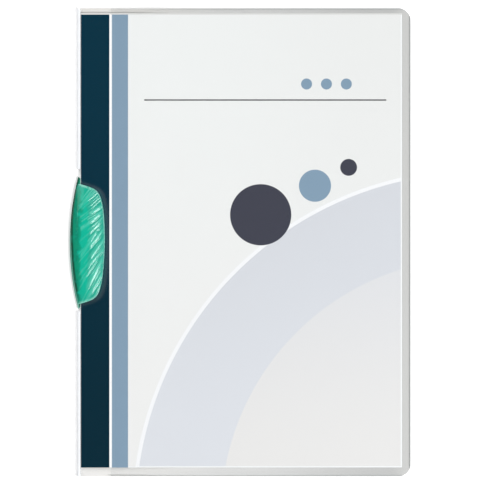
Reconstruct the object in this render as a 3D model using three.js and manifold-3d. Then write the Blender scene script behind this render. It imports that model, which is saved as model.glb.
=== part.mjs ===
// A4 clip folder: a folded plastic cover, a printed sheet in it and a clip that turns out of a slot in the spine.
// Millimetres, +Z up. The folder lies closed on its back cover, spine to -X, with its head to +Y.
import * as THREE from 'three';
import { mergeVertices } from 'three/addons/utils/BufferGeometryUtils.js';
import Module from 'manifold-3d';

// Cover: one film folded at the spine
const coverWidth = 218;
const coverHeight = 306;
const cornerRadius = 8;
const filmThickness = 0.4;
const hingeX = 21.9;
const hingeGap = 0.3;

// Insert sheet, an A4 page
const sheetWidth = 210;
const sheetHeight = 297;
const sheetThickness = 0.2;
const sheetSpineMargin = 2.4;
const sheetHeadMargin = 3.2;

// Slot cut across the spine fold
const slotReach = 2.1;
const slotEndClearance = 1.6;
const slotTurnRoom = 5;
const slotEndRadius = 1;

// Clip outline, seen from the front
const clipCentreY = -0.35;
const clipTipX = 0.6;
const clipBulge = 4.85;
const plateReach = 20;
const tipWidth = 0.5;
const jawLength = 79.6;
const jawDrop = 0.7;
const tipPastJaw = 3.25;
const jawReach = 18.2;
const jawEndPower = 3.2;
const jawSidePower = 6.7;
const jawEndSlope = 0.3;
const jawFootTaper = 0.065;
const jawEndTrim = 0.4;

// Clip section
const plateThickness = 1.2;
const plateEdgeRound = 0.4;
const flangeWidth = 0.9;
const wallInnerX = 1;
const wallHeadGap = 4.3;
const shellThickness = 1.5;
const lipThickness = 1.3;
const crestHeight = 6.5;
const crestX = 6.5;
const edgeRound = 0.8;

// Wavy ribs on the jaw
const ribRootX = 2;
const ribPitch = 4.6;
const ribDepth = 0.45;
const ribAngleHead = 36;
const ribAngleFoot = 54;
const ribWave = 0.16;

// Pivot near the head of the clip
const pivotX = 6;
const pivotFromHead = 4.2;
const studRadius = 1.8;
const studHeadRadius = 3;
const studHeadThickness = 0.4;
const studFlangeRadius = 3.4;
const studFlangeThickness = 0.2;
const bossWall = 1.3;
const counterboreDepth = 0.6;

// Relief pressed in the front strip round the jaw
const reliefMargin = 2;
const reliefDepth = 0.2;

// Clearances
const layerGap = 0.1;
const pivotGap = 0.1;
const headGap = 0.3;

// Where the sheet and the front cover come down from the clip's plate to the back cover
const settleStart = 24;
const settleLength = 46;

// Heights of the layers, from the ground up
const plateBottom = filmThickness + studFlangeThickness + layerGap;
const plateTop = plateBottom + plateThickness;
const sheetBottom = plateTop + layerGap;
const stripBottom = sheetBottom + sheetThickness + layerGap;
const stripTop = stripBottom + filmThickness;
const lipBottom = stripTop + layerGap;
const settleDrop = sheetBottom - filmThickness - layerGap;

const jawCentreY = clipCentreY - jawDrop;
const clipLength = jawLength + 2 * tipPastJaw;
const clipHead = clipCentreY + clipLength / 2;
const clipFoot = clipCentreY - clipLength / 2;
const pivotY = clipHead - pivotFromHead;
const slotHead = clipHead + slotTurnRoom;
const slotFoot = clipFoot - slotEndClearance;
const originX = (coverWidth - clipBulge) / 2;

const curveSteps = 40;
const arcSteps = 12;
const roundSteps = 48;
const overshoot = 5;

const wasm = await Module();
wasm.setup();

// Solids

function toSolid(geometry) {
  const bare = geometry.clone();
  bare.deleteAttribute('normal');
  bare.deleteAttribute('uv');
  const merged = mergeVertices(bare, 1e-5);
  const vertProperties = new Float32Array(merged.attributes.position.array);
  const triVerts = new Uint32Array(merged.index.array);
  return new wasm.Manifold(new wasm.Mesh({ numProp: 3, vertProperties, triVerts }));
}

function toMesh(name, solid, material) {
  const { vertProperties, triVerts } = solid.getMesh();
  const geometry = new THREE.BufferGeometry();
  geometry.setAttribute('position', new THREE.BufferAttribute(new Float32Array(vertProperties), 3));
  geometry.setIndex(new THREE.BufferAttribute(new Uint32Array(triVerts), 1));
  geometry.computeVertexNormals();
  const mesh = new THREE.Mesh(geometry, material);
  mesh.name = name;
  return mesh;
}

// A flat outline in plan, raised from bottom to top
function plate(shape, bottom, top) {
  const options = { depth: top - bottom, bevelEnabled: false, curveSegments: arcSteps };
  const geometry = new THREE.ExtrudeGeometry(shape, options);
  geometry.translate(0, 0, bottom);
  return toSolid(geometry);
}

// A section in X and Z, run along Y from foot to head
function lengthOf(section, foot, head) {
  const options = { depth: head - foot, bevelEnabled: false, curveSegments: arcSteps };
  const geometry = new THREE.ExtrudeGeometry(section, options);
  geometry.rotateX(Math.PI / 2);
  geometry.translate(0, head, 0);
  return toSolid(geometry);
}

function disc(radius, x, y, bottom, top, topRadius = radius) {
  const geometry = new THREE.CylinderGeometry(topRadius, radius, top - bottom, roundSteps);
  geometry.rotateX(Math.PI / 2);
  geometry.translate(x, y, (bottom + top) / 2);
  return toSolid(geometry);
}

// A solid between a flat floor and a surface of height top(x, y), over rows that run from left(y) to right(y)
function mound({ foot, head, rows, columns, left, right, floor, top }) {
  const positions = [];
  for (const level of [top, () => floor]) {
    for (let row = 0; row <= rows; row++) {
      const y = ease(row / rows, foot, head);
      for (let column = 0; column <= columns; column++) {
        const x = ease(column / columns, left(y), right(y));
        positions.push(x, y, level(x, y));
      }
    }
  }
  const width = columns + 1;
  const under = width * (rows + 1);
  const indices = [];
  const quad = (a, b, c, d) => indices.push(a, b, c, a, c, d);
  for (let row = 0; row < rows; row++) {
    for (let column = 0; column < columns; column++) {
      const a = row * width + column;
      quad(a, a + 1, a + width + 1, a + width);
      quad(under + a, under + a + width, under + a + width + 1, under + a + 1);
    }
    const start = row * width;
    const end = start + columns;
    quad(start, start + width, under + start + width, under + start);
    quad(end, under + end, under + end + width, end + width);
  }
  const last = rows * width;
  for (let column = 0; column < columns; column++) {
    quad(column, under + column, under + column + 1, column + 1);
    quad(last + column, last + column + 1, under + last + column + 1, under + last + column);
  }
  const geometry = new THREE.BufferGeometry();
  geometry.setAttribute('position', new THREE.Float32BufferAttribute(positions, 3));
  geometry.setIndex(indices);
  return toSolid(geometry);
}

// From start to end, half evenly and half with finer steps near both ends
function ease(share, start, end) {
  const slow = (1 - Math.cos(Math.PI * share)) / 2;
  return start + (end - start) * (share + slow) / 2;
}

function clamp01(value) {
  return Math.min(1, Math.max(0, value));
}

// Cover and sheet

// How far a layer has come down at x, on its way from the clip's plate to the back cover
function settled(x) {
  const share = clamp01((x - settleStart) / settleLength);
  return settleDrop * (1 - Math.cos(Math.PI * share)) / 2;
}

function settledLayer(startX, endX, bottom, thickness) {
  const points = [new THREE.Vector2(startX, bottom)];
  for (let step = 0; step <= arcSteps; step++) {
    const x = settleStart + settleLength * step / arcSteps;
    points.push(new THREE.Vector2(x, bottom - settled(x)));
  }
  points.push(new THREE.Vector2(endX, bottom - settleDrop));
  const upper = points.map((point) => new THREE.Vector2(point.x, point.y + thickness)).reverse();
  return new THREE.Shape([...points, ...upper]);
}

// Square at the spine, with round corners at the fore edge
function coverOutline() {
  const half = coverHeight / 2;
  const shape = new THREE.Shape();
  shape.moveTo(-overshoot, -half);
  shape.lineTo(coverWidth - cornerRadius, -half);
  shape.absarc(coverWidth - cornerRadius, cornerRadius - half, cornerRadius, -Math.PI / 2, 0, false);
  shape.lineTo(coverWidth, half - cornerRadius);
  shape.absarc(coverWidth - cornerRadius, half - cornerRadius, cornerRadius, 0, Math.PI / 2, false);
  shape.lineTo(-overshoot, half);
  return shape;
}

// Back cover, half-round spine and front strip in one run
function foldedSection() {
  const outer = stripTop / 2;
  const inner = outer - filmThickness;
  const section = new THREE.Shape();
  section.moveTo(coverWidth, 0);
  section.lineTo(coverWidth, filmThickness);
  section.lineTo(outer, filmThickness);
  section.absarc(outer, outer, inner, -Math.PI / 2, Math.PI / 2, true);
  section.lineTo(hingeX - hingeGap / 2, stripBottom);
  section.lineTo(hingeX - hingeGap / 2, stripTop);
  section.lineTo(outer, stripTop);
  section.absarc(outer, outer, outer, Math.PI / 2, -Math.PI / 2, false);
  return section;
}

function slotOutline() {
  const r = slotEndRadius;
  const shape = new THREE.Shape();
  shape.moveTo(-overshoot, slotFoot);
  shape.lineTo(slotReach - r, slotFoot);
  shape.absarc(slotReach - r, slotFoot + r, r, -Math.PI / 2, 0, false);
  shape.lineTo(slotReach, slotHead - r);
  shape.absarc(slotReach - r, slotHead - r, r, 0, Math.PI / 2, false);
  shape.lineTo(-overshoot, slotHead);
  return shape;
}

// The jaw's half-almond outline, larger by a margin
function jawOutline(margin) {
  const shape = new THREE.Shape();
  const half = jawLength / 2;
  shape.moveTo(-overshoot, jawCentreY - half - margin);
  for (let step = 0; step <= curveSteps; step++) {
    const y = ease(step / curveSteps, jawCentreY - half, jawCentreY + half);
    const x = jawEdge(y);
    const away = jawSlope(x, y).normalize();
    shape.lineTo(x + margin * away.x, y + margin * away.y);
  }
  shape.lineTo(-overshoot, jawCentreY + half + margin);
  return shape;
}

function foldedCover() {
  const film = lengthOf(foldedSection(), -coverHeight / 2, coverHeight / 2);
  const slot = plate(slotOutline(), -overshoot, stripTop + overshoot);
  const relief = plate(jawOutline(reliefMargin), stripTop - reliefDepth, stripTop + overshoot);
  const trimmed = film.intersect(plate(coverOutline(), -overshoot, stripTop + overshoot));
  return trimmed.subtract(slot).subtract(relief);
}

function frontCover() {
  const section = settledLayer(hingeX + hingeGap / 2, coverWidth, stripBottom, filmThickness);
  const film = lengthOf(section, -coverHeight / 2, coverHeight / 2);
  return film.intersect(plate(coverOutline(), -overshoot, stripTop + overshoot));
}

function insertSheet() {
  const head = coverHeight / 2 - sheetHeadMargin;
  const section = settledLayer(sheetSpineMargin, sheetSpineMargin + sheetWidth, sheetBottom, sheetThickness);
  return lengthOf(section, head - sheetHeight, head);
}

// Clip

// The bowed edge that stands out of the spine
function clipEdge(y) {
  const along = (y - clipCentreY) / (clipLength / 2);
  return clipTipX - (clipTipX + clipBulge) * (1 - along * along);
}

// The plate's edge under the sheets
function plateEdge(y) {
  const along = (y - clipCentreY) / (clipLength / 2);
  return clipTipX + tipWidth + (plateReach - clipTipX - tipWidth) * (1 - along * along);
}

// Under 1 inside the jaw's outline, 1 on it and more outside: a bowed side between two slanted ends
function jawLevel(x, y) {
  const off = y - jawCentreY;
  const half = jawLength / 2;
  const across = Math.max(0, x);
  const reach = jawReach * (1 - jawFootTaper * Math.max(0, -off) / half);
  return ((Math.abs(off) + jawEndSlope * across) / half) ** jawEndPower + (across / reach) ** jawSidePower;
}

function jawSlope(x, y) {
  const step = 0.01;
  const slopeX = (jawLevel(x + step, y) - jawLevel(x - step, y)) / (2 * step);
  const slopeY = (jawLevel(x, y + step) - jawLevel(x, y - step)) / (2 * step);
  return new THREE.Vector2(slopeX, slopeY);
}

// X of the jaw's free edge, found by halving
function jawEdge(y) {
  let inside = 0;
  let outside = jawReach;
  for (let step = 0; step < 30; step++) {
    const middle = (inside + outside) / 2;
    if (jawLevel(middle, y) < 1) {
      inside = middle;
    } else {
      outside = middle;
    }
  }
  return inside;
}

// How far a place on the jaw is from its free edge
function jawInset(x, y) {
  return Math.max(0, 1 - jawLevel(x, y)) / Math.max(1e-3, jawSlope(x, y).length());
}

// What a round of the given radius takes off the height at a distance from the edge
function rounding(distance, radius) {
  const share = 1 - clamp01(distance / radius);
  return radius * (1 - Math.sqrt(1 - share * share));
}

// Smooth back of the clip: a steep wall on the spine side, a crest and a slow fall to the lip
function backHeight(x, y) {
  const lipTop = lipBottom + lipThickness;
  const along = (y - jawCentreY) / (jawLength / 2);
  const crest = lipTop + (crestHeight - lipTop) * Math.max(0, 1 - along ** 4);
  const footX = clipEdge(y) + flangeWidth;
  if (x < crestX) {
    const share = clamp01((crestX - x) / (crestX - footX));
    return plateTop + (crest - plateTop) * Math.sqrt(1 - share * share);
  }
  const share = clamp01((x - crestX) / Math.max(1, jawReach - crestX));
  return crest - (crest - lipTop) * share * share;
}

// Ridges that climb away from the spine, steeper towards the foot
function ribHeight(x, y) {
  const along = clamp01((jawCentreY + jawLength / 2 - y) / jawLength);
  const angle = THREE.MathUtils.degToRad(ribAngleHead + (ribAngleFoot - ribAngleHead) * along);
  const rise = y - x * Math.tan(angle);
  const waver = ribWave * Math.sin(rise * 0.9 + x * 0.5);
  const wave = 0.5 + 0.5 * Math.cos(2 * Math.PI * (rise / ribPitch + waver));
  const grown = clamp01((x - ribRootX) / 1.5) * clamp01(jawInset(x, y) / 1.5);
  return ribDepth * (wave - 1) * grown;
}

function clipPlate() {
  const leaf = mound({
    foot: clipFoot,
    head: clipHead,
    rows: 44,
    columns: 10,
    left: clipEdge,
    right: plateEdge,
    floor: plateBottom,
    top: (x, y) => plateTop - rounding(Math.min(x - clipEdge(y), plateEdge(y) - x), plateEdgeRound)
  });
  return leaf.add(disc(studHeadRadius + headGap + bossWall, pivotX, pivotY, plateBottom, plateTop));
}

function clipJaw() {
  const half = jawLength / 2 - jawEndTrim;
  const ends = { foot: jawCentreY - half, head: jawCentreY + half };
  const footX = (y) => clipEdge(y) + flangeWidth;
  const back = mound({
    ...ends,
    rows: 84,
    columns: 18,
    left: footX,
    right: (y) => Math.max(jawEdge(y), footX(y) + lipThickness),
    floor: plateTop - plateThickness / 2,
    top: (x, y) => Math.max(
      lipBottom + lipThickness / 3,
      backHeight(x, y) + ribHeight(x, y) - rounding(jawInset(x, y), edgeRound)
    )
  });
  const hollow = mound({
    foot: ends.foot - 1,
    head: ends.head + 1,
    rows: 30,
    columns: 10,
    left: () => wallInnerX,
    right: () => jawReach + 1,
    floor: 0,
    top: (x, y) => Math.max(lipBottom, backHeight(x, y) - shellThickness)
  });
  return back.subtract(hollow);
}

// Room for the sheets and the spine as the head of the clip turns past them
function headRoom() {
  const shape = new THREE.Shape();
  const top = pivotY - wallHeadGap;
  shape.moveTo(-clipBulge - overshoot, top);
  shape.lineTo(jawReach, top);
  shape.lineTo(jawReach, clipHead + overshoot);
  shape.lineTo(-clipBulge - overshoot, clipHead + overshoot);
  return plate(shape, plateTop, lipBottom);
}

function clipBody() {
  const bored = clipPlate()
    .subtract(disc(studRadius + pivotGap, pivotX, pivotY, 0, lipBottom))
    .subtract(disc(studHeadRadius + headGap, pivotX, pivotY, plateTop - counterboreDepth, plateTop + 1));
  const overStud = disc(studHeadRadius + headGap, pivotX, pivotY, 0, plateTop);
  return bored.add(clipJaw().subtract(headRoom()).subtract(overStud));
}

// Stud on the back cover that the clip turns on
function pivotStud() {
  const ledge = plateTop - counterboreDepth + layerGap;
  const flangeTop = filmThickness + studFlangeThickness;
  const flange = disc(studFlangeRadius, pivotX, pivotY, filmThickness, flangeTop);
  const shaft = disc(studRadius, pivotX, pivotY, filmThickness, ledge + studHeadThickness);
  const head = disc(studHeadRadius, pivotX, pivotY, ledge, ledge + studHeadThickness, studHeadRadius - layerGap);
  return flange.add(shaft).add(head);
}

// Materials

const film = new THREE.MeshStandardMaterial({
  color: 0xeef0f0, roughness: 0.45, metalness: 0, transparent: true, opacity: 0.4
});
const paper = new THREE.MeshStandardMaterial({ color: 0xf0f2f1, roughness: 0.7, metalness: 0 });
const greenPlastic = new THREE.MeshStandardMaterial({ color: 0x1f9e7e, roughness: 0.25, metalness: 0 });
const whitePlastic = new THREE.MeshStandardMaterial({ color: 0xe4e8e8, roughness: 0.4, metalness: 0 });

// The origin is under the middle of the closed folder
const folder = new THREE.Group();
folder.add(toMesh('folded_cover', foldedCover(), film));
folder.add(toMesh('front_cover', frontCover(), film.clone()));
folder.add(toMesh('insert_sheet', insertSheet(), paper));
folder.add(toMesh('pivot_stud', pivotStud(), whitePlastic));
folder.add(toMesh('spine_clip', clipBody(), greenPlastic));
folder.position.x = -originX;

const clipFolder = new THREE.Group();
clipFolder.add(folder);

export default clipFolder;
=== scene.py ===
"""Dresses an A4 clip folder: translucent film cover, printed insert and a ribbed green clip.

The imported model's frame is in metres: +X runs from the spine to the fore edge, +Y to the head
of the page and +Z up out of the front cover. Named sizes are in millimetres, apart from the
studio's. A place across the page is measured from the spine fold, and one along it from the
middle of the page.
"""

import logging
import math
import random
from dataclasses import dataclass
from enum import Enum
from typing import ClassVar

import bmesh
import bpy
import numpy as np
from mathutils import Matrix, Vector


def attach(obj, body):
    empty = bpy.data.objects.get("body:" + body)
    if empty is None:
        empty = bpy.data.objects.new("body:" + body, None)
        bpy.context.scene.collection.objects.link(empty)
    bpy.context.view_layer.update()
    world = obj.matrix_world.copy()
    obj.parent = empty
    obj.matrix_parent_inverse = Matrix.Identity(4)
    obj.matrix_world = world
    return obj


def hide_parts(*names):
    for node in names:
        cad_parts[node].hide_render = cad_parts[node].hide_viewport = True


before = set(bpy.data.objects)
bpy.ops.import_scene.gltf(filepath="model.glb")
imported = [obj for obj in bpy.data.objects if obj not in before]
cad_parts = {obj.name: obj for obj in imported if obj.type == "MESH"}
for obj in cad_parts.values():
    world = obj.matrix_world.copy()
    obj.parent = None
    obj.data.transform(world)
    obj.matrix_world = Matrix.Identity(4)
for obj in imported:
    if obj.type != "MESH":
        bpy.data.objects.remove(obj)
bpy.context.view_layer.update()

LOG = logging.getLogger("clip_folder")
MM = 0.001
WHITE = "#ffffff"

Span = tuple[float, float]


class Finish(Enum):
    """The finishes that the folder's pieces are made in."""

    FROSTED_BACK = "frosted_polypropylene_back"
    CLEAR_FRONT = "clear_polypropylene_front"
    PRINTED_PAPER = "offset_printed_paper"
    GREEN_MOULDING = "moulded_green_styrene"
    WHITE_MOULDING = "moulded_white_acetal"


@dataclass(frozen=True)
class FolderPlan:
    """The closed cover's spine, head and fore edge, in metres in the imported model's frame."""

    spine: float = -0.106575
    head: float = 0.153
    fore: float = 0.111425

    def x(self, from_spine: float) -> float:
        """Returns the X of a place given in millimetres from the spine fold."""
        return self.spine + from_spine * MM


PLAN = FolderPlan()


# Small helpers


def linear_channel(value: float) -> float:
    """Returns one sRGB channel, from 0 to 1, as linear light."""
    return value / 12.92 if value <= 0.04045 else ((value + 0.055) / 1.055) ** 2.4


def colour(code: str) -> tuple[float, float, float, float]:
    """Turns an sRGB hex value into a linear colour.

    Args:
        code: Six hex digits after a hash, such as "#0f3343".

    Returns:
        Red, green, blue and a full alpha.
    """
    channels = [int(code[i : i + 2], 16) / 255 for i in (1, 3, 5)]
    red, green, blue = (linear_channel(channel) for channel in channels)
    return (red, green, blue, 1.0)


def rise(
    values: np.ndarray, start: float | np.ndarray, end: float | np.ndarray
) -> np.ndarray:
    """Returns 0 at start and before and 1 at end and past it, with soft ends between.

    Args:
        values: The numbers to grade.
        start: Where the rise starts, as one number or one for each value.
        end: Where it ends, which may be below start.

    Returns:
        One share for each value.
    """
    share = np.clip((values - start) / (end - start), 0.0, 1.0)
    return share * share * (3 - 2 * share)


def select_only(piece: bpy.types.Object) -> None:
    """Makes piece the only selected object, and the active one."""
    bpy.ops.object.select_all(action="DESELECT")
    piece.select_set(True)
    bpy.context.view_layer.objects.active = piece


def apply_modifier(piece: bpy.types.Object, kind: str, **settings: object) -> None:
    """Adds one modifier to a piece and applies it.

    Args:
        piece: The mesh object to change.
        kind: Blender's name for the modifier type.
        **settings: Values for the modifier's own properties.
    """
    select_only(piece)
    modifier = piece.modifiers.new(kind.title(), kind)
    for name, value in settings.items():
        setattr(modifier, name, value)
    bpy.ops.object.modifier_apply(modifier=modifier.name)


def copy_node(name: str, title: str) -> bpy.types.Object:
    """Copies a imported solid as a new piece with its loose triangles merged.

    Args:
        name: The node's name.
        title: The new piece's name.

    Returns:
        The new piece, with no material.
    """
    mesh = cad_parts[name].data.copy()
    mesh.materials.clear()
    piece = bpy.data.objects.new(title, mesh)
    bpy.context.scene.collection.objects.link(piece)
    select_only(piece)
    bpy.ops.object.mode_set(mode="EDIT")
    bpy.ops.mesh.select_all(action="SELECT")
    bpy.ops.mesh.remove_doubles(threshold=0.001 * MM)
    bpy.ops.mesh.normals_make_consistent(inside=False)
    bpy.ops.object.mode_set(mode="OBJECT")
    return piece


def point_arrays(mesh: bpy.types.Mesh) -> tuple[np.ndarray, np.ndarray]:
    """Returns a mesh's places and normals, one row a point."""
    places = np.empty(len(mesh.vertices) * 3)
    mesh.vertices.foreach_get("co", places)
    normals = np.empty(len(mesh.vertices) * 3)
    mesh.vertex_normals.foreach_get("vector", normals)
    return places.reshape(-1, 3), normals.reshape(-1, 3)


def note_points(mesh: bpy.types.Mesh, name: str, values: np.ndarray) -> None:
    """Writes one number a point as an attribute that a finish can read.

    Args:
        mesh: The piece's mesh.
        name: The attribute's name.
        values: One number for each point.
    """
    attribute = mesh.attributes.new(name, "FLOAT", "POINT")
    attribute.data.foreach_set("value", np.asarray(values, dtype=np.float32))


def add_node(
    tree: bpy.types.NodeTree,
    kind: str,
    inputs: dict[str | int, object] | None = None,
    **settings: object,
) -> bpy.types.Node:
    """Adds a node to a tree with its settings, values and links.

    Args:
        tree: The node tree of a material or world.
        kind: The node's type, such as "ShaderNodeMath".
        inputs: Input name or index to a value, or to a socket to link from.
        **settings: Values for the node's own properties.

    Returns:
        The new node.
    """
    node = tree.nodes.new(kind)
    for name, value in settings.items():
        setattr(node, name, value)
    for name, value in (inputs or {}).items():
        if isinstance(value, bpy.types.NodeSocket):
            tree.links.new(value, node.inputs[name])
        else:
            node.inputs[name].default_value = value
    return node


# Finishes


class Surface:
    """A material being built, with short ways to place fields of colour on Object coordinates."""

    def __init__(self, finish: Finish) -> None:
        """Starts an empty material named for its finish."""
        self.material = bpy.data.materials.new(finish.value)
        self.material.use_nodes = True
        self.tree = self.material.node_tree
        self.tree.nodes.clear()
        self.output = add_node(self.tree, "ShaderNodeOutputMaterial")
        self.place = add_node(self.tree, "ShaderNodeTexCoord").outputs["Object"]
        axes = add_node(self.tree, "ShaderNodeSeparateXYZ", {0: self.place}).outputs
        self.x, self.y, self.z = axes[0], axes[1], axes[2]

    def math(self, operation: str, *values: object) -> bpy.types.NodeSocket:
        """Returns the result of a Math node on up to three values or sockets."""
        inputs = dict(enumerate(values))
        return add_node(self.tree, "ShaderNodeMath", inputs, operation=operation).outputs[0]

    def between(self, axis: bpy.types.NodeSocket, low: float, high: float) -> bpy.types.NodeSocket:
        """Returns 1 where a coordinate is between two places in metres, and 0 elsewhere."""
        return self.math("COMPARE", axis, (low + high) / 2, (high - low) / 2)

    def ramp(self, value: object, start: float, end: float) -> bpy.types.NodeSocket:
        """Returns 0 before start and 1 after end, with soft ends between them."""
        inputs = {"Value": value, "From Min": start, "From Max": end}
        node = add_node(
            self.tree, "ShaderNodeMapRange", inputs, interpolation_type="SMOOTHSTEP", clamp=True
        )
        return node.outputs["Result"]

    def across(self, span: Span, place: bpy.types.NodeSocket | None = None) -> bpy.types.NodeSocket:
        """Returns a ramp across the page, at X unless another place is given."""
        return self.ramp(self.x if place is None else place, PLAN.x(span[0]), PLAN.x(span[1]))

    def along(self, span: Span) -> bpy.types.NodeSocket:
        """Returns a ramp along the page."""
        return self.ramp(self.y, span[0] * MM, span[1] * MM)

    def band(self, across: Span) -> bpy.types.NodeSocket:
        """Returns 1 between two places across the page, from head to foot."""
        return self.between(self.x, PLAN.x(across[0]), PLAN.x(across[1]))

    def patch(self, across: Span, low: float, high: float) -> bpy.types.NodeSocket:
        """Returns 1 in a rectangle of the page, whose low and high sides are in metres."""
        return self.math("MULTIPLY", self.band(across), self.between(self.y, low, high))

    def mix(self, factor: object, first: object, second: object) -> bpy.types.NodeSocket:
        """Returns the first colour where factor is 0 and the second where it is 1."""
        node = add_node(self.tree, "ShaderNodeMix", data_type="RGBA")
        for index, value in ((0, factor), (6, first), (7, second)):
            if isinstance(value, bpy.types.NodeSocket):
                self.tree.links.new(value, node.inputs[index])
            elif isinstance(value, str):
                node.inputs[index].default_value = colour(value)
            else:
                node.inputs[index].default_value = value
        return node.outputs[2]

    def noise(self, size: float, detail: float = 2.0) -> bpy.types.NodeSocket:
        """Returns a noise pattern whose grains are about size metres across."""
        inputs = {"Vector": self.place, "Scale": 1 / size, "Detail": detail}
        return add_node(self.tree, "ShaderNodeTexNoise", inputs).outputs[0]

    def bump(self, height: object, depth: float, strength: float) -> bpy.types.NodeSocket:
        """Returns a normal that is raised by a pattern, depth metres at its highest."""
        inputs = {"Strength": strength, "Distance": depth, "Height": height}
        return add_node(self.tree, "ShaderNodeBump", inputs).outputs[0]

    def attribute(self, name: str) -> bpy.types.NodeSocket:
        """Returns the value of one of the piece's own point attributes."""
        return add_node(self.tree, "ShaderNodeAttribute", attribute_name=name).outputs["Fac"]

    def finish(self, **inputs: object) -> bpy.types.Material:
        """Adds the shader itself.

        Args:
            **inputs: Shader inputs by name, with an underscore for each space.

        Returns:
            The finished material.
        """
        named = {name.replace("_", " "): value for name, value in inputs.items()}
        shader = add_node(self.tree, "ShaderNodeBsdfPrincipled", named)
        self.tree.links.new(shader.outputs[0], self.output.inputs[0])
        return self.material


@dataclass(frozen=True)
class Disc:
    """A printed disc: its middle, its radius and its ink."""

    x: float
    y: float
    radius: float
    ink: str


@dataclass(frozen=True)
class PrintedPaper:
    """Offset-printed coated paper: matt, with flat fields of ink, a fine tooth, and painted shade
    toward the foot and the fore edge.
    """

    paper: str = "#f1f3f2"
    paper_foot_shade: str = "#efefee"
    paper_fore_shade: str = "#ecedec"
    margin: str = "#f8fafb"
    head_line: str = "#dededc"
    dark_ink: str = "#032f40"
    dark_ink_foot_shade: str = "#022735"
    steel_ink: str = "#7f9bb2"
    slate_ink: str = "#26253a"
    haze: str = "#dee1e7"
    haze_deep: str = "#d6d9df"
    inner: str = "#e9e8e7"
    inner_deep: str = "#dcdee3"
    arc_line: str = "#f7f8fa"
    rule_ink: str = "#383a3d"
    shade_head_to_foot: Span = (140.0, -140.0)
    fore_shade_start: float = 60.0
    printed_head: Span = (148.75, 148.9)
    field: Span = (33.2, 211.6)
    field_foot: float = -146.4
    dark_band: Span = (2.5, 21.12)
    steel_band: Span = (22.8, 33.3)
    rule_across: Span = (43.9, 202.1)
    rule_along: Span = (92.59, 93.45)
    arc_middle: tuple[float, float] = (262.0, -178.0)
    wide_radius: float = 226.0
    line_radius: float = 223.6
    inner_radius: float = 168.0
    arc_shade: Span = (-150.0, 60.0)
    discs: tuple[Disc, ...] = (
        Disc(120.0, 18.0, 20.0, slate_ink),
        Disc(155.5, 37.0, 10.5, steel_ink),
        Disc(177.5, 49.0, 5.5, slate_ink),
    )
    dots: tuple[Disc, ...] = (
        Disc(150.0, 103.5, 3.6, steel_ink),
        Disc(163.0, 103.5, 3.6, steel_ink),
        Disc(176.0, 103.5, 3.6, steel_ink),
    )
    blur: float = 0.12
    tooth: float = 0.4
    tooth_depth: float = 0.02
    tooth_strength: float = 0.2

    def circle(self, surface: Surface, x: float, y: float, radius: float) -> bpy.types.NodeSocket:
        """Returns 1 inside a circle and 0 outside it."""
        centre = Vector((PLAN.x(x), y * MM, 0.0))
        flat = add_node(
            surface.tree, "ShaderNodeCombineXYZ", {0: surface.x, 1: surface.y}
        ).outputs[0]
        reach = add_node(
            surface.tree, "ShaderNodeVectorMath", {0: flat, 1: centre}, operation="DISTANCE"
        ).outputs["Value"]
        edge = self.blur * MM
        return surface.ramp(reach, radius * MM + edge, radius * MM - edge)

    def print_arcs(self, surface: Surface, page: bpy.types.NodeSocket) -> bpy.types.NodeSocket:
        """Lays two wide, hazy arcs over the page, the outer one with a light line round it."""
        shade = surface.along(self.arc_shade)
        haze = surface.mix(shade, self.haze, self.haze_deep)
        wide = self.circle(surface, *self.arc_middle, self.wide_radius)
        page = surface.mix(wide, page, haze)
        within = self.circle(surface, *self.arc_middle, self.line_radius)
        page = surface.mix(surface.math("SUBTRACT", wide, within), page, self.arc_line)
        inner = self.circle(surface, *self.arc_middle, self.inner_radius)
        return surface.mix(inner, page, surface.mix(shade, self.inner, self.inner_deep))

    def print_discs(
        self, surface: Surface, page: bpy.types.NodeSocket, discs: tuple[Disc, ...]
    ) -> bpy.types.NodeSocket:
        """Lays discs of ink over the page."""
        for disc in discs:
            page = surface.mix(self.circle(surface, disc.x, disc.y, disc.radius), page, disc.ink)
        return page

    def build(self) -> bpy.types.Material:
        """Returns the printed paper."""
        surface = Surface(Finish.PRINTED_PAPER)
        # Painted shade: the ground darkens a little toward the foot and toward the fore edge.
        page = surface.mix(surface.along(self.shade_head_to_foot), self.paper, self.paper_foot_shade)
        page = surface.mix(surface.across((self.fore_shade_start, self.field[1])), page, self.paper_fore_shade)
        page = self.print_arcs(surface, page)
        page = self.print_discs(surface, page, self.discs)
        low, high = self.rule_along
        rule = surface.patch(self.rule_across, low * MM, high * MM)
        page = surface.mix(rule, page, self.rule_ink)
        page = self.print_discs(surface, page, self.dots)
        field = surface.patch(self.field, self.field_foot * MM, PLAN.head)
        page = surface.mix(field, self.margin, page)
        page = surface.mix(surface.band(self.steel_band), page, self.steel_ink)
        dark = surface.band(self.dark_band)
        # Painted shade: the dark ink darkens toward the foot.
        ink = surface.mix(surface.along(self.shade_head_to_foot), self.dark_ink, self.dark_ink_foot_shade)
        page = surface.mix(dark, page, ink)
        page = surface.mix(surface.along(self.printed_head), page, self.head_line)
        tooth = surface.noise(self.tooth * MM)
        return surface.finish(
            Base_Color=page,
            Roughness=0.75,
            IOR=1.45,
            Specular_IOR_Level=0.05,
            Normal=surface.bump(tooth, self.tooth_depth * MM, self.tooth_strength),
        )


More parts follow.
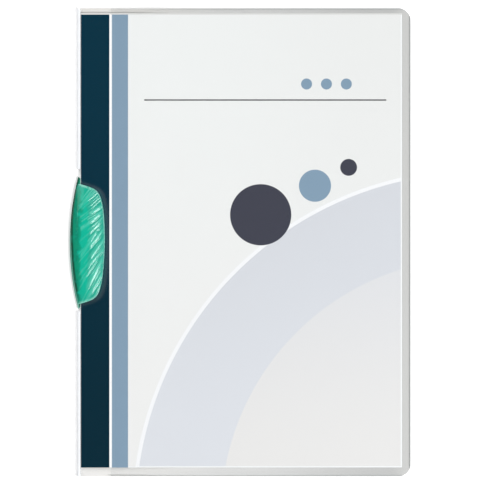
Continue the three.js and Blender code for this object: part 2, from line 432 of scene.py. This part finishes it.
@dataclass(frozen=True)
class FrostedFilm:
    """Frosted polypropylene film: milky where it stands free, clear where it lies on the print.

    Its milky margin carries painted light and shade: warm and light at the spine, greyer to the
    fore edge, a little lighter at that edge, and lighter toward the foot by the spine. A painted
    highlight whitens the spine fold. Its fine grain gives it a soft, broken shine.
    """

    # Painted highlight: near white for the lit, rounded spine fold.
    fold: str = "#fafcff"
    spine_side: str = "#e4e2de"
    middle: str = "#d3d3d2"
    fore_side_shade: str = "#c4c4c3"
    fore_edge: str = "#cfcfcd"
    # Painted light: the clip's green light on the ring of film round the jaw.
    glow: str = "#5fc0c0"
    middle_span: Span = (10.0, 110.0)
    fore_span: Span = (110.0, 200.0)
    edge_span: Span = (205.0, 215.0)
    foot_painted_light: float = 0.36
    painted_light_along: Span = (100.0, -150.0)
    painted_light_across: Span = (260.0, 0.0)
    fold_highlight_span: Span = (2.9, 1.2)
    clear_span: Span = (1.7, 2.5)
    strip_low: float = 1.5
    strip_high: float = 2.2
    milk: float = 0.96
    haze: float = 0.001
    veil: float = 0.06
    grain: float = 0.35
    grain_detail: float = 3.0
    grain_depth: float = 0.01
    grain_strength: float = 0.25

    def build(self) -> bpy.types.Material:
        """Returns the film of the back cover, spine and front strip."""
        surface = Surface(Finish.FROSTED_BACK)
        # Painted light and shade: light at the spine, greyer toward the fore edge, lighter again at
        # it.
        milky = self.spine_side
        for span, tone in (
            (self.middle_span, self.middle),
            (self.fore_span, self.fore_side_shade),
            (self.edge_span, self.fore_edge),
        ):
            milky = surface.mix(surface.across(span), milky, tone)
        # Painted light: lighter toward the foot, most by the spine.
        foot = surface.math("MULTIPLY", surface.along(self.painted_light_along), self.foot_painted_light)
        foot = surface.math("MULTIPLY", foot, surface.across(self.painted_light_across))
        milky = surface.mix(foot, milky, WHITE)
        # Painted highlight: near white at the spine fold and on the front strip beside it, for the
        # lit fold and light through the film.
        milky = surface.mix(surface.across(self.fold_highlight_span), milky, self.fold)
        strip = surface.ramp(surface.z, self.strip_low * MM, self.strip_high * MM)
        base = surface.mix(strip, milky, self.fold)
        # Painted light: the ring round the jaw shows the raised film's milkiness, tinted with the
        # clip's green light.
        glow = surface.attribute("glow")
        base = surface.mix(glow, base, self.glow)
        clear = surface.math("MULTIPLY", strip, surface.across(self.clear_span))
        thin = surface.math("ADD", self.haze, surface.math("MULTIPLY", glow, self.veil))
        opacity = surface.math("SUBTRACT", 1.0, clear)
        opacity = surface.math("MAXIMUM", surface.math("MULTIPLY", opacity, self.milk), thin)
        grain = surface.noise(self.grain * MM, self.grain_detail)
        return surface.finish(
            Base_Color=base,
            Roughness=0.42,
            IOR=1.49,
            Specular_IOR_Level=0.3,
            Alpha=opacity,
            Normal=surface.bump(grain, self.grain_depth * MM, self.grain_strength),
        )


@dataclass(frozen=True)
class ClearFilm:
    """Clear polypropylene film: nearly unseen over the print, with cut edges that show as lines.

    An edge is light from outside, with painted shade that greys it toward the fore edge, and
    painted shade makes it grey from inside, so that the opened cover can be made out on a white
    table. The middle of the film's height tells the two sides apart.
    """

    tint: str = "#b4bbbd"
    edge: str = "#dcdbd9"
    edge_fore_shade: str = "#c9cbca"
    inner_edge_shade: str = "#8d9594"
    opacity: float = 0.045
    edge_opacity: float = 0.95
    edge_width: float = 0.8
    level: float = 2.5
    drop: float = 1.5
    drop_span: Span = (24.0, 70.0)
    edge_span: Span = (20.0, 190.0)
    ripple: float = 14.0
    ripple_detail: float = 1.0
    ripple_depth: float = 0.02
    ripple_strength: float = 0.15

    def build(self) -> bpy.types.Material:
        """Returns the film of the front cover."""
        surface = Surface(Finish.CLEAR_FRONT)
        width = self.edge_width * MM
        fore = surface.ramp(surface.x, PLAN.fore - width, PLAN.fore - width / 3)
        ends = surface.ramp(
            surface.math("ABSOLUTE", surface.y), PLAN.head - width, PLAN.head - width / 3
        )
        edge = surface.math("MAXIMUM", fore, ends)
        # Painted shade: the edge greys toward the fore edge, and its inner side is painted grey.
        rim = surface.mix(surface.across(self.edge_span), self.edge, self.edge_fore_shade)
        settled = surface.across(self.drop_span)
        middle = surface.math("MULTIPLY_ADD", settled, -self.drop * MM, self.level * MM)
        rim = surface.mix(surface.math("LESS_THAN", surface.z, middle), rim, self.inner_edge_shade)
        base = surface.mix(edge, self.tint, rim)
        opacity = surface.math("MULTIPLY_ADD", edge, self.edge_opacity, self.opacity)
        ripple = surface.noise(self.ripple * MM, self.ripple_detail)
        return surface.finish(
            Base_Color=base,
            Roughness=0.3,
            IOR=1.49,
            Specular_IOR_Level=0.35,
            Alpha=opacity,
            Normal=surface.bump(ripple, self.ripple_depth * MM, self.ripple_strength),
        )


@dataclass(frozen=True)
class GreenMoulding:
    """Translucent green styrene, injection moulded and glossy.

    It is deep where it is thick, at the root of the jaw, and pale on the thin lip. The crests of
    the ridges are painted pale as a highlight, the rim along the free edge is pale partly as a
    painted highlight, and a dark line along the outer edge is painted shade.
    """

    # Painted shade: the dark line just inside the bowed outer edge.
    deep: str = "#00523d"
    edge: str = "#74b3a2"
    wall: str = "#009473"
    root: str = "#007c63"
    body: str = "#06b496"
    pale: str = "#22a38b"
    # Painted highlight: the pale tone of the ridges' crests.
    crest: str = "#66d6bd"
    # Pale rim along the free edge: partly the thin lip's own tone, partly a painted highlight.
    rim: str = "#a0e2d5"
    outer_shade_reach: Span = (-0.3, 0.1)
    wall_reach: Span = (0.9, 1.8)
    root_span: Span = (-2.4, 0.4)
    body_span: Span = (0.4, 3.6)
    pale_span: Span = (6.6, 8.6)
    cloud: float = 5.0
    cloud_detail: float = 3.0
    blots: Span = (0.42, 0.62)
    mottles: Span = (0.5, 0.75)
    waver: float = 9.0
    ends_share: float = 0.7
    mottle_share: float = 0.3
    crest_highlight_share: float = 0.7
    rim_grain: float = 1.6
    rim_breaks: Span = (0.3, 0.6)
    rim_least: float = 0.25
    rim_more: float = 0.6

    def build(self) -> bpy.types.Material:
        """Returns the clip's plastic, toned by how thick each place is, with painted highlight on
        the ridges' crests and painted shade by the outer edge.
        """
        surface = Surface(Finish.GREEN_MOULDING)
        outer = surface.attribute("outer")
        cloud = surface.noise(self.cloud * MM, self.cloud_detail)
        # Painted shade: a dark line just inside the bowed outer edge, then the thick wall's deeper
        # green.
        tone = surface.mix(surface.ramp(outer, *self.outer_shade_reach), self.edge, self.deep)
        tone = surface.mix(surface.ramp(outer, *self.wall_reach), tone, self.wall)
        thick = surface.across(self.root_span)
        rooted = surface.math("MULTIPLY", thick, surface.ramp(cloud, *self.blots))
        tone = surface.mix(rooted, tone, self.root)
        sway = surface.math("MULTIPLY", surface.math("SUBTRACT", cloud, 0.5), self.waver * MM)
        place = surface.math("ADD", surface.x, sway)
        tone = surface.mix(surface.across(self.body_span, place), tone, self.body)
        tone = surface.mix(surface.across(self.pale_span, place), tone, self.pale)
        # Paler at the ends and in mottles, and painted highlight on the ridges' crests.
        for factor, share, shade in (
            (surface.attribute("ends"), self.ends_share, self.pale),
            (surface.ramp(cloud, *self.mottles), self.mottle_share, self.body),
            (surface.attribute("ridge"), self.crest_highlight_share, self.crest),
        ):
            tone = surface.mix(surface.math("MULTIPLY", factor, share), tone, shade)
        # The rim is pale partly for the thin lip and partly as a painted highlight, broken by
        # grain.
        broken = surface.ramp(surface.noise(self.rim_grain * MM), *self.rim_breaks)
        broken = surface.math("MULTIPLY_ADD", broken, self.rim_more, self.rim_least)
        rim = surface.math("MULTIPLY", surface.attribute("rim"), broken)
        tone = surface.mix(rim, tone, self.rim)
        return surface.finish(
            Base_Color=tone,
            Roughness=0.12,
            IOR=1.5,
            Specular_IOR_Level=0.32,
            Subsurface_Weight=0.1,
            Subsurface_Radius=(0.4, 1.6, 1.2),
            Subsurface_Scale=0.0008,
        )


@dataclass(frozen=True)
class WhiteMoulding:
    """Natural acetal, injection moulded: an even, waxy white with a faint grain."""

    tone: str = "#e2e6e6"
    shade: str = "#d2d8d8"
    grain: float = 0.8
    grain_depth: float = 0.01
    grain_strength: float = 0.2

    def build(self) -> bpy.types.Material:
        """Returns the stud's plastic."""
        surface = Surface(Finish.WHITE_MOULDING)
        cloud = surface.noise(self.grain * MM)
        return surface.finish(
            Base_Color=surface.mix(cloud, self.tone, self.shade),
            Roughness=0.4,
            IOR=1.48,
            Normal=surface.bump(cloud, self.grain_depth * MM, self.grain_strength),
        )


# Clip


@dataclass(frozen=True)
class Ridge:
    """One wavy ridge of the jaw.

    Its place is where it crosses the middle of the jaw, and its angle is in degrees from a line
    across the page. It runs from start to end across the jaw and stands full past its step.
    """

    MIDDLE: ClassVar[float] = 12.0
    WAVE: ClassVar[float] = 0.35
    START_SOFT: ClassVar[float] = 0.8
    END_SOFT: ClassVar[float] = 2.5
    STEP_SOFT: ClassVar[float] = 1.4
    LOW_SHARE: ClassVar[float] = 0.5

    place: float
    angle: float
    width: float
    height: float
    start: float
    end: float
    step: float = 7.8
    bend: float = 0.3
    sway: float = 0.0

    def share(self, x: np.ndarray, y: np.ndarray) -> np.ndarray:
        """Returns how high the ridge stands at each place, from 0 to about 1."""
        slope = math.tan(math.radians(self.angle))
        wave = self.bend * np.sin(x * self.WAVE + self.sway)
        climb = self.place + slope * (x - self.MIDDLE) + wave
        off = (y - climb) / (self.width * math.hypot(1.0, slope))
        window = rise(x, self.start - self.START_SOFT, self.start + self.START_SOFT)
        window = window * rise(x, self.end, self.end - self.END_SOFT)
        full = rise(x, self.step - self.STEP_SOFT, self.step + self.STEP_SOFT)
        strength = self.LOW_SHARE + (1 - self.LOW_SHARE) * full
        return self.height * window * strength * np.exp(-off * off)


BOLD_RIDGES = (
    Ridge(33.9, 49.0, 0.8, 0.7, 2.5, 13.5),
    Ridge(21.2, 31.0, 0.9, 1.0, 8.0, 17.5, sway=1.0),
    Ridge(16.0, 38.0, 1.0, 1.0, 2.5, 17.0, sway=2.0),
    Ridge(10.2, 50.0, 0.7, 0.8, 8.0, 17.0),
    Ridge(5.6, 57.0, 1.0, 0.8, 2.5, 14.5, sway=4.0),
    Ridge(1.8, 52.0, 0.95, 1.0, 8.2, 18.0),
    Ridge(-6.2, 53.0, 0.9, 1.0, 9.0, 19.0, sway=3.0),
    Ridge(-10.4, 49.0, 0.9, 0.8, 7.0, 19.0, sway=5.0),
    Ridge(-13.2, 57.0, 0.6, 0.9, 3.5, 15.0),
    Ridge(-19.5, 61.0, 1.2, 0.9, 6.0, 18.0, sway=1.0),
    Ridge(-28.0, 58.0, 0.9, 0.9, 5.5, 18.0, sway=2.0),
)


@dataclass(frozen=True)
class FineRidges:
    """The small ridges between the bold ones, each a little different from the next."""

    seed: int = 11
    lead: float = 12.0
    pitch: float = 1.8
    pitch_share: Span = (0.8, 1.3)
    width: Span = (0.36, 0.55)
    height: Span = (0.35, 0.8)
    early_share: float = 0.65
    early_start: Span = (0.5, 4.5)
    late_start: float = 7.0
    end: Span = (14.5, 19.0)
    step: Span = (5.4, 9.8)
    bend: Span = (-0.5, 0.5)
    sway: Span = (0.0, 6.28)
    middle_angle: float = 52.0
    steepest: float = 62.0
    angle_spread: Span = (-3.0, 3.0)
    head_turn: float = 1.1
    foot_turn: float = 0.45
    flattest_place: float = 19.0
    return_turn: float = 1.2

    def angle(self, place: float) -> float:
        """Returns the general angle at a place: steepest at the foot, flattest near the head."""
        above = min(self.flattest_place, max(0.0, place))
        turn = self.middle_angle - self.head_turn * above - self.foot_turn * min(0.0, place)
        past = max(0.0, place - self.flattest_place)
        return min(self.steepest, turn + self.return_turn * past)

    def build(self, jaw_half: float) -> list[Ridge]:
        """Sets out the ridges from the foot of the jaw to its head.

        Args:
            jaw_half: Half the length of the jaw.

        Returns:
            The ridges.
        """
        dice = random.Random(self.seed)
        ridges = []
        place = -jaw_half - self.lead
        while place < jaw_half:
            angle = self.angle(place) + dice.uniform(*self.angle_spread)
            width = dice.uniform(*self.width)
            height = dice.uniform(*self.height)
            early = dice.random() < self.early_share
            start = dice.uniform(*self.early_start) if early else self.late_start
            rest = [dice.uniform(*span) for span in (self.end, self.step, self.bend, self.sway)]
            ridges.append(Ridge(place, angle, width, height, start, *rest))
            place += self.pitch * dice.uniform(*self.pitch_share) / math.cos(math.radians(angle))
        return ridges


@dataclass
class SpineClip:
    """The ribbed clip: plate, wall and jaw in one moulding, turned on a stud near its head."""

    centre_y: float = -0.35
    half_length: float = 43.05
    tip_x: float = 0.6
    bulge: float = 4.85
    jaw_centre_y: float = -1.05
    jaw_half: float = 39.8
    jaw_reach: float = 18.2
    end_power: float = 3.2
    side_power: float = 6.7
    end_slope: float = 0.3
    foot_taper: float = 0.065
    flange: float = 0.9
    root_x: float = 2.0
    plate_top: float = 1.9
    lip_top: float = 4.1
    lip_bottom: float = 2.8
    crest_height: float = 6.5
    crest_x: float = 6.5
    crest_power: int = 4
    voxel: float = 0.28
    ridge_depth: float = 0.42
    ridge_base: float = 0.8
    ridge_growth: Span = (-3.0, 1.0)
    facing_up: float = 0.1
    lip_side: float = 0.4
    skin: float = 1.2
    held_inset: Span = (0.2, 1.4)
    held_root: Span = (-3.5, -0.5)
    outer_shade_shift: float = 1.2
    outer_shade_shift_along: Span = (26.0, -10.0)
    end_zone: Span = (0.72, 1.0)
    rim_width: float = 1.0
    rim_at_ends: float = 1.6
    rim_start: float = 1.0

    def edge_x(self, y: np.ndarray) -> np.ndarray:
        """Returns the X of the bowed edge outside the spine."""
        along = (y - self.centre_y) / self.half_length
        return self.tip_x - (self.tip_x + self.bulge) * (1 - along * along)

    def jaw_level(self, x: np.ndarray, y: np.ndarray) -> np.ndarray:
        """Returns under 1 inside the jaw's outline, 1 on it and more outside."""
        off = y - self.jaw_centre_y
        across = np.maximum(0.0, x)
        reach = self.jaw_reach * (1 - self.foot_taper * np.maximum(0.0, -off) / self.jaw_half)
        along = (np.abs(off) + self.end_slope * across) / self.jaw_half
        return along**self.end_power + (across / reach) ** self.side_power

    def jaw_inset(self, x: np.ndarray, y: np.ndarray) -> np.ndarray:
        """Returns how far places are inside the jaw's free edge, less than 0 outside it."""
        step = 0.01
        least_slope = 0.001
        slope_x = (self.jaw_level(x + step, y) - self.jaw_level(x - step, y)) / (2 * step)
        slope_y = (self.jaw_level(x, y + step) - self.jaw_level(x, y - step)) / (2 * step)
        return (1 - self.jaw_level(x, y)) / np.maximum(least_slope, np.hypot(slope_x, slope_y))

    def back_height(self, x: np.ndarray, y: np.ndarray) -> np.ndarray:
        """Returns the height of the clip's smooth back."""
        along = (y - self.jaw_centre_y) / self.jaw_half
        crown = np.maximum(0, 1 - along**self.crest_power)
        crest = self.lip_top + (self.crest_height - self.lip_top) * crown
        foot_x = self.edge_x(y) + self.flange
        climb = np.clip((self.crest_x - x) / (self.crest_x - foot_x), 0, 1)
        wall = self.plate_top + (crest - self.plate_top) * np.sqrt(1 - climb * climb)
        fall = np.clip((x - self.crest_x) / (self.jaw_reach - self.crest_x), 0, 1)
        jaw = crest - (crest - self.lip_top) * fall * fall
        return np.where(x < self.crest_x, wall, jaw)

    def ridge_share(self, x: np.ndarray, y: np.ndarray) -> np.ndarray:
        """Returns how high the wavy ridges stand at each place, from 0 to about 1."""
        highest = np.zeros_like(x)
        for ridge in (*BOLD_RIDGES, *FineRidges().build(self.jaw_half)):
            highest = np.maximum(highest, ridge.share(x, y))
        return highest

    def copy_solid(self) -> bpy.types.Object:
        """Returns a closed, evenly meshed copy of the clip's solid."""
        piece = copy_node("spine_clip", "ribbed_clip")
        apply_modifier(piece, "REMESH", mode="VOXEL", voxel_size=self.voxel * MM, adaptivity=0.0)
        apply_modifier(piece, "SMOOTH", factor=0.5, iterations=3)
        return piece

    def shape_back(self, piece: bpy.types.Object) -> None:
        """Raises the jaw's ridges and notes each point's place for the finish.

        Args:
            piece: The evenly meshed clip.
        """
        mesh = piece.data
        places, normals = point_arrays(mesh)
        x = places[:, 0] / MM - PLAN.spine / MM
        y = places[:, 1] / MM
        z = places[:, 2] / MM
        inset = self.jaw_inset(x, y)
        back = self.back_height(x, y)
        share = self.ridge_share(x, y)
        from_root = x - self.root_x
        on_back = (normals[:, 2] > self.facing_up) & (z > self.lip_bottom + self.lip_side)
        on_back &= z > back - self.skin
        held = on_back * rise(inset, *self.held_inset) * rise(from_root, *self.held_root)
        grown = rise(from_root, *self.ridge_growth)
        wanted = back + self.ridge_depth * (share - self.ridge_base) * grown
        places[:, 2] += (wanted - z) * MM * held
        mesh.vertices.foreach_set("co", places.ravel())
        above = z > self.lip_bottom
        # Moves the painted shade line and the wall's tone further in toward the foot.
        deep = self.outer_shade_shift * rise(y, *self.outer_shade_shift_along)
        ends = rise(np.abs(y - self.jaw_centre_y) / self.jaw_half, *self.end_zone)
        # Where the finish paints the pale rim along the free edge, partly a painted highlight,
        # wider at the ends.
        rim = rise(inset, self.rim_width + self.rim_at_ends * ends, 0.0)
        note_points(mesh, "outer", x - self.edge_x(y) - deep)
        # The ridge share marks where the finish paints its crest highlight.
        note_points(mesh, "ridge", share * held)
        note_points(mesh, "ends", ends * above)
        note_points(mesh, "rim", rim * above * (x > self.rim_start))
        mesh.update()

    def build(self) -> bpy.types.Object:
        """Returns the finished clip."""
        piece = self.copy_solid()
        self.shape_back(piece)
        apply_modifier(piece, "SMOOTH", factor=0.4, iterations=1)
        select_only(piece)
        bpy.ops.object.shade_smooth()
        piece.data.materials.append(GreenMoulding().build())
        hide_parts("spine_clip")
        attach(piece, "clip")
        return piece


# Cover


@dataclass
class FoldedCover:
    """Back cover, spine and front strip, cut flat as one film and then folded round the spine.

    The flat film runs from the fore edge of the back cover, at 0, over the spine to the crease
    of the front cover. Where the relief lies close round the jaw, the raised film is milky and
    takes painted green light from the clip.
    """

    clip: SpineClip
    width: float = 218.0
    height: float = 306.0
    corner: float = 8.0
    corner_steps: int = 14
    film: float = 0.4
    depth: float = 2.7
    crease_x: float = 21.75
    slot_reach: float = 2.1
    slot_head: float = 47.7
    slot_foot: float = -45.0
    slot_margin: float = 1.0
    relief_width: float = 2.2
    relief_height: float = 0.04
    relief_soft: float = 0.9
    relief_lead: float = 1.5
    side_span: Span = (9.0, 16.0)
    side_least: float = 0.35
    ring_outer: Span = (1.15, 0.15)
    ring_inner: Span = (-3.0, -1.0)
    fine_step: float = 0.8
    least_step: float = 0.1
    fold_steps: int = 14
    smooth_angle: float = 35.0

    @property
    def radius(self) -> float:
        """The bend's radius at the middle of the film."""
        return (self.depth - self.film) / 2

    @property
    def fold_start(self) -> float:
        """Where the flat film starts to bend."""
        return self.width - self.radius - self.film / 2

    @property
    def fold_end(self) -> float:
        """Where the flat film has come round to the front."""
        return self.fold_start + math.pi * self.radius

    @property
    def flat_width(self) -> float:
        """The flat film's whole width."""
        return self.fold_end + self.crease_x - self.radius - self.film / 2

    @property
    def slot_sides(self) -> Span:
        """The two sides of the slot on the flat film."""
        reach = self.slot_reach - self.radius - self.film / 2
        return (self.fold_start - reach, self.fold_end + reach)

    def cut_lines(self) -> list[tuple[float, bool]]:
        """Lists where the flat film is divided.

        Returns:
            Places in millimetres, each with True across the film's width and False along it.
        """
        lines = [
            (self.fold_start + (self.fold_end - self.fold_start) * step / self.fold_steps, True)
            for step in range(self.fold_steps + 1)
        ]
        lines += [(side, True) for side in self.slot_sides]
        place = self.slot_sides[1] + self.fine_step
        while place < self.flat_width - self.least_step:
            lines.append((place, True))
            place += self.fine_step
        lines += [(self.slot_foot, False), (self.slot_head, False)]
        place = self.slot_foot - self.slot_margin
        while place < self.slot_head + self.slot_margin:
            lines.append((place, False))
            place += self.fine_step
        return lines

    def cut_flat(self) -> bpy.types.Object:
        """Returns the flat film with its slot and round corners, divided where it will bend."""
        bpy.ops.object.select_all(action="DESELECT")
        middle = self.flat_width / 2 * MM
        bpy.ops.mesh.primitive_plane_add(size=1.0, location=(middle, 0.0, 0.0))
        piece = bpy.context.active_object
        piece.name = "frosted_cover"
        piece.scale = (self.flat_width * MM, self.height * MM, 1.0)
        bpy.ops.object.transform_apply(location=True, rotation=False, scale=True)
        bpy.ops.object.mode_set(mode="EDIT")
        bpy.ops.mesh.select_all(action="DESELECT")
        bpy.ops.mesh.select_mode(type="VERT")
        shape = bmesh.from_edit_mesh(piece.data)
        for vertex in shape.verts:
            vertex.select = vertex.co.x < self.width / 2 * MM
        bpy.ops.mesh.bevel(
            offset=self.corner * MM, segments=self.corner_steps, affect="VERTICES"
        )
        for place, across in self.cut_lines():
            bpy.ops.mesh.select_all(action="SELECT")
            point = (place * MM, 0.0, 0.0) if across else (0.0, place * MM, 0.0)
            normal = (1.0, 0.0, 0.0) if across else (0.0, 1.0, 0.0)
            bpy.ops.mesh.bisect(plane_co=point, plane_no=normal)
        self.cut_slot(piece)
        bpy.ops.object.mode_set(mode="OBJECT")
        return piece

    def cut_slot(self, piece: bpy.types.Object) -> None:
        """Deletes the faces of the slot across the fold."""
        bpy.ops.mesh.select_mode(type="FACE")
        bpy.ops.mesh.select_all(action="DESELECT")
        shape = bmesh.from_edit_mesh(piece.data)
        first, last = self.slot_sides
        for face in shape.faces:
            centre = face.calc_center_median() / MM
            along = self.slot_foot < centre.y < self.slot_head
            face.select = along and first < centre.x < last
        bmesh.update_edit_mesh(piece.data)
        bpy.ops.mesh.delete(type="FACE")

    def fold(self, piece: bpy.types.Object) -> None:
        """Bends the flat film round the spine and presses the relief into the front strip.

        Args:
            piece: The flat film.
        """
        mesh = piece.data
        places, _ = point_arrays(mesh)
        flat = places[:, 0] / MM
        y = places[:, 1] / MM
        turn = np.clip((flat - self.fold_start) / self.radius, 0, math.pi)
        before = np.minimum(flat, self.fold_start)
        after = np.maximum(flat - self.fold_end, 0)
        x = self.width - before - self.radius * np.sin(turn) + after
        z = self.depth / 2 - self.radius * np.cos(turn)
        outside = -self.clip.jaw_inset(x, y)
        shown = rise(flat, self.fold_end, self.fold_end + self.relief_lead)
        shown *= self.side_least + (1 - self.side_least) * rise(x, *self.side_span)
        ridge = np.exp(-(((outside - self.relief_width) / self.relief_soft) ** 2))
        z += self.relief_height * ridge * shown
        places[:, 0] = PLAN.spine + x * MM
        places[:, 2] = z * MM
        mesh.vertices.foreach_set("co", places.ravel())
        # The ring round the jaw, noted as glow: where the raised film is milky and takes painted
        # green light from the clip.
        ring = rise(outside / self.relief_width, *self.ring_outer)
        ring *= rise(outside, *self.ring_inner)
        note_points(mesh, "glow", ring * shown)
        mesh.update()

    def build(self) -> bpy.types.Object:
        """Returns the finished film."""
        piece = self.cut_flat()
        self.fold(piece)
        apply_modifier(piece, "SOLIDIFY", thickness=self.film * MM, offset=0.0)
        select_only(piece)
        bpy.ops.object.mode_set(mode="EDIT")
        bpy.ops.mesh.select_all(action="SELECT")
        bpy.ops.mesh.normals_make_consistent(inside=False)
        bpy.ops.object.mode_set(mode="OBJECT")
        bpy.ops.object.shade_smooth_by_angle(angle=math.radians(self.smooth_angle))
        piece.data.materials.append(FrostedFilm().build())
        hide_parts("folded_cover")
        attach(piece, "back")
        return piece


@dataclass
class DressedNodes:
    """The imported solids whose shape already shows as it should."""

    def dress(self, name: str, material: bpy.types.Material) -> None:
        """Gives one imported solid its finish.

        Args:
            name: The node's name.
            material: The finish for all of it.
        """
        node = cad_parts[name]
        node.data.materials.clear()
        node.data.materials.append(material)
        LOG.info("dressed %s", name)

    def build(self) -> None:
        """Dresses the insert, the front cover and the stud."""
        self.dress("insert_sheet", PrintedPaper().build())
        self.dress("front_cover", ClearFilm().build())
        self.dress("pivot_stud", WhiteMoulding().build())


# Studio


@dataclass(frozen=True)
class Lamp:
    """A square lamp that faces the folder: its place and side in metres, its power in watts."""

    name: str
    place: tuple[float, float, float]
    side: float
    power: float

    def build(self) -> None:
        """Hangs the lamp."""
        light = bpy.data.lights.new(self.name, "AREA")
        light.size = self.side
        light.energy = self.power
        lamp = bpy.data.objects.new(self.name, light)
        lamp.location = self.place
        lamp.rotation_euler = (-Vector(self.place)).to_track_quat("-Z", "Y").to_euler()
        bpy.context.scene.collection.objects.link(lamp)


@dataclass
class Studio:
    """A white table seen from straight above, under soft lamps. Its lengths are in metres."""

    height: float = 3.0
    view_width: float = 0.3139
    centre: tuple[float, float] = (-0.0001, 0.0015)
    sensor: float = 36.0
    far_clip: float = 20.0
    table_size: float = 12.0
    table_drop: float = 0.0002
    table_glow: float = 0.22
    lit_reach: float = 0.35
    dim_reach: float = 1.5
    sky: float = 0.3
    lamps: tuple[Lamp, ...] = (
        Lamp("key", (1.21, -0.62, 1.73), 0.8, 37.0),
        Lamp("fill", (-1.2, 1.2, 1.3), 2.0, 22.0),
    )

    def camera(self) -> None:
        """Sets a long lens straight above the folder, with the head of the page upwards."""
        lens = bpy.data.cameras.new("overhead")
        lens.sensor_width = self.sensor
        lens.lens = self.sensor * self.height / self.view_width
        lens.clip_end = self.far_clip
        camera = bpy.data.objects.new("overhead", lens)
        camera.location = (self.centre[0], self.centre[1], self.height)
        bpy.context.scene.collection.objects.link(camera)
        bpy.context.scene.camera = camera

    def table_finish(self) -> bpy.types.Material:
        """Returns white paint that also glows to the camera, and more so far from the folder."""
        material = bpy.data.materials.new("white_table")
        material.use_nodes = True
        tree = material.node_tree
        tree.nodes.clear()
        paint = add_node(tree, "ShaderNodeBsdfDiffuse", {"Color": colour(WHITE)})
        place = add_node(tree, "ShaderNodeTexCoord").outputs["Object"]
        reach = add_node(tree, "ShaderNodeVectorMath", {0: place}, operation="LENGTH")
        far = add_node(
            tree,
            "ShaderNodeMapRange",
            {
                "Value": reach.outputs["Value"],
                "From Min": self.lit_reach,
                "From Max": self.dim_reach,
                "To Min": self.table_glow,
                "To Max": 1.0,
            },
        )
        glow = add_node(
            tree,
            "ShaderNodeEmission",
            {"Color": colour(WHITE), "Strength": far.outputs["Result"]},
        )
        both = add_node(tree, "ShaderNodeAddShader", {0: paint.outputs[0], 1: glow.outputs[0]})
        path = add_node(tree, "ShaderNodeLightPath")
        seen = add_node(
            tree,
            "ShaderNodeMath",
            {0: path.outputs["Is Camera Ray"], 1: path.outputs["Is Transmission Ray"]},
            operation="MAXIMUM",
        )
        pick = add_node(
            tree,
            "ShaderNodeMixShader",
            {0: seen.outputs[0], 1: paint.outputs[0], 2: both.outputs[0]},
        )
        add_node(tree, "ShaderNodeOutputMaterial", {0: pick.outputs[0]})
        return material

    def table(self) -> None:
        """Lays the white table top, which keeps a faint shadow under the folder."""
        bpy.ops.mesh.primitive_plane_add(
            size=self.table_size, location=(0.0, 0.0, -self.table_drop)
        )
        table = bpy.context.active_object
        table.name = "white_table"
        table.data.materials.append(self.table_finish())

    def world(self) -> None:
        """Fills the room with even white light."""
        world = bpy.data.worlds.new("white_room")
        world.use_nodes = True
        tree = world.node_tree
        tree.nodes.clear()
        path = add_node(tree, "ShaderNodeLightPath")
        strength = add_node(
            tree,
            "ShaderNodeMapRange",
            {"Value": path.outputs["Is Camera Ray"], "To Min": self.sky, "To Max": 1.0},
        )
        sky = add_node(
            tree,
            "ShaderNodeBackground",
            {"Color": colour(WHITE), "Strength": strength.outputs["Result"]},
        )
        add_node(tree, "ShaderNodeOutputWorld", {0: sky.outputs[0]})
        bpy.context.scene.world = world

    def build(self) -> None:
        """Sets the camera, the table, the lamps and the room."""
        self.camera()
        self.table()
        for lamp in self.lamps:
            lamp.build()
        self.world()
        bpy.context.scene.view_settings.view_transform = "Standard"


def main() -> None:
    """Builds the pieces in order."""
    logging.basicConfig(level=logging.INFO, format="%(name)s %(message)s")
    Studio().build()
    LOG.info("studio set")
    DressedNodes().build()
    clip = SpineClip()
    moulding = clip.build()
    LOG.info("clip has %d faces", len(moulding.data.polygons))
    cover = FoldedCover(clip).build()
    LOG.info("cover has %d faces", len(cover.data.polygons))


if __name__ == "__main__":
    main()
